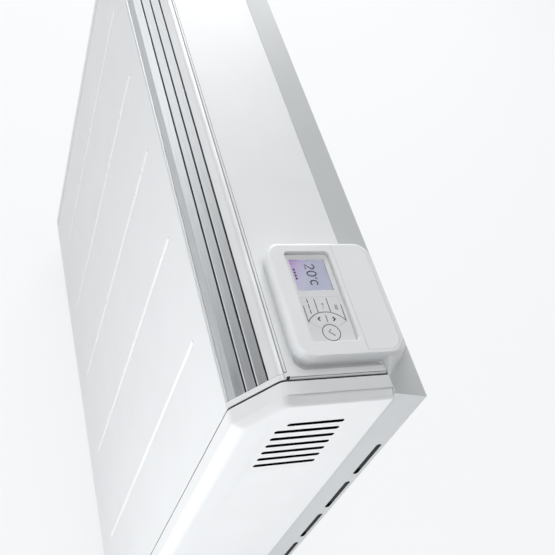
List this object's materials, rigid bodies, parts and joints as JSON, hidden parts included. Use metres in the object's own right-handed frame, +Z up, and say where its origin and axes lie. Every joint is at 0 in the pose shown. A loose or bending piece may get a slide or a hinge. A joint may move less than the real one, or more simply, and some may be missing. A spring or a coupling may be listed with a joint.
{
  "type": "storage heater",
  "caption": "Slim floor-standing storage heater with a ribbed front, sloping slatted outlet grille, louvred end caps and a keypad pod on top.",
  "frame": {"origin": "on the floor, under the middle of the heater's bounding box", "axes": "+X to the right as a person faces the heater, +Y towards the wall behind it, +Z up"},
  "size_m": [0.7902, 0.1862, 0.72],
  "materials": {
    "white_enamel": "satin white powder coat with a very fine texture",
    "white_gloss": "smooth gloss white",
    "grey_enamel": "satin light grey powder coat",
    "white_moulding": "satin white moulded plastic",
    "brushed_aluminium": "brushed along its length, clear anodised",
    "galvanised_steel": "galvanised sheet",
    "dark_moulding": "matt black moulded plastic",
    "key_grey": "fine matt light grey",
    "clear_window": "clear, flat",
    "display_face": "backlit lavender display",
    "key_rubber": "matt silicone",
    "circuit_board": "green solder mask",
    "storage_brick": "pressed magnetite brick, rough",
    "element_sheath": "dark oxidised sheath",
    "insulation_board": "pressed microporous board with a fibrous skin",
    "red_moulding": "gloss red"
  },
  "bodies": {
    "heater": {"front_panel": "white_enamel", "top_panel": "white_enamel", "rear_casing": "grey_enamel", "end_cap_right": "white_moulding", "end_cap_left": "white_moulding", "grille_lower_rail": "brushed_aluminium", "grille_slat_1": "brushed_aluminium", "grille_slat_2": "brushed_aluminium", "grille_slat_3": "brushed_aluminium", "grille_upper_rail": "white_gloss", "grille_end_right": "white_moulding", "grille_end_left": "white_moulding", "base_tray": "galvanised_steel", "cable_gland": "dark_moulding", "foot_right": "dark_moulding", "foot_left": "dark_moulding", "wall_bracket": "galvanised_steel", "chassis_side_right": "galvanised_steel", "chassis_side_left": "galvanised_steel", "air_duct": "galvanised_steel", "damper_motor": "dark_moulding", "pod_housing": "white_moulding", "label_cover": "white_moulding", "key_plate": "key_grey", "display_window": "clear_window", "display_module": "display_face", "key_mat": "key_rubber", "control_board": "circuit_board", "terminal_block": "dark_moulding", "thermal_cutout": "dark_moulding", "brick_front_1_1": "storage_brick", "brick_rear_1_1": "storage_brick", "brick_front_1_2": "storage_brick", "brick_rear_1_2": "storage_brick", "brick_front_2_1": "storage_brick", "brick_rear_2_1": "storage_brick", "brick_front_2_2": "storage_brick", "brick_rear_2_2": "storage_brick", "brick_front_3_1": "storage_brick", "brick_rear_3_1": "storage_brick", "brick_front_3_2": "storage_brick", "brick_rear_3_2": "storage_brick", "heating_element_1": "element_sheath", "heating_element_2": "element_sheath", "heating_element_3": "element_sheath", "insulation_base": "insulation_board", "insulation_top": "insulation_board", "insulation_front": "insulation_board", "insulation_rear": "insulation_board", "insulation_right": "insulation_board", "insulation_left": "insulation_board"},
    "damper": {"damper_flap": "galvanised_steel"},
    "reset_button": {"reset_button": "red_moulding"},
    "key_enter": {"key_enter": "key_grey"},
    "key_down": {"key_down": "key_grey"},
    "key_up": {"key_up": "key_grey"},
    "key_option_1": {"key_option_1": "key_grey"},
    "key_option_2": {"key_option_2": "key_grey"},
    "key_option_3": {"key_option_3": "key_grey"}
  },
  "joints": [
    {"name": "key_enter_press", "type": "slide", "parent": "heater", "child": "key_enter", "axis": [0, 0, -1], "range_m": [0, 0.0006], "stiffness_N_per_m": 800},
    {"name": "key_down_press", "type": "slide", "parent": "heater", "child": "key_down", "axis": [0, 0, -1], "range_m": [0, 0.0006], "stiffness_N_per_m": 800},
    {"name": "key_up_press", "type": "slide", "parent": "heater", "child": "key_up", "axis": [0, 0, -1], "range_m": [0, 0.0006], "stiffness_N_per_m": 800},
    {"name": "key_option_1_press", "type": "slide", "parent": "heater", "child": "key_option_1", "axis": [0, 0, -1], "range_m": [0, 0.0006], "stiffness_N_per_m": 800},
    {"name": "key_option_2_press", "type": "slide", "parent": "heater", "child": "key_option_2", "axis": [0, 0, -1], "range_m": [0, 0.0006], "stiffness_N_per_m": 800},
    {"name": "key_option_3_press", "type": "slide", "parent": "heater", "child": "key_option_3", "axis": [0, 0, -1], "range_m": [0, 0.0006], "stiffness_N_per_m": 800},
    {"name": "damper_pivot", "type": "hinge", "parent": "heater", "child": "damper", "pos_m": [-0.0275, -0.0454, 0.622], "axis": [-1, 0, 0], "range_deg": [0, 65]},
    {"name": "reset_press", "type": "slide", "parent": "heater", "child": "reset_button", "axis": [-1, 0, 0], "range_m": [0, 0.002], "stiffness_N_per_m": 500}
  ]
}
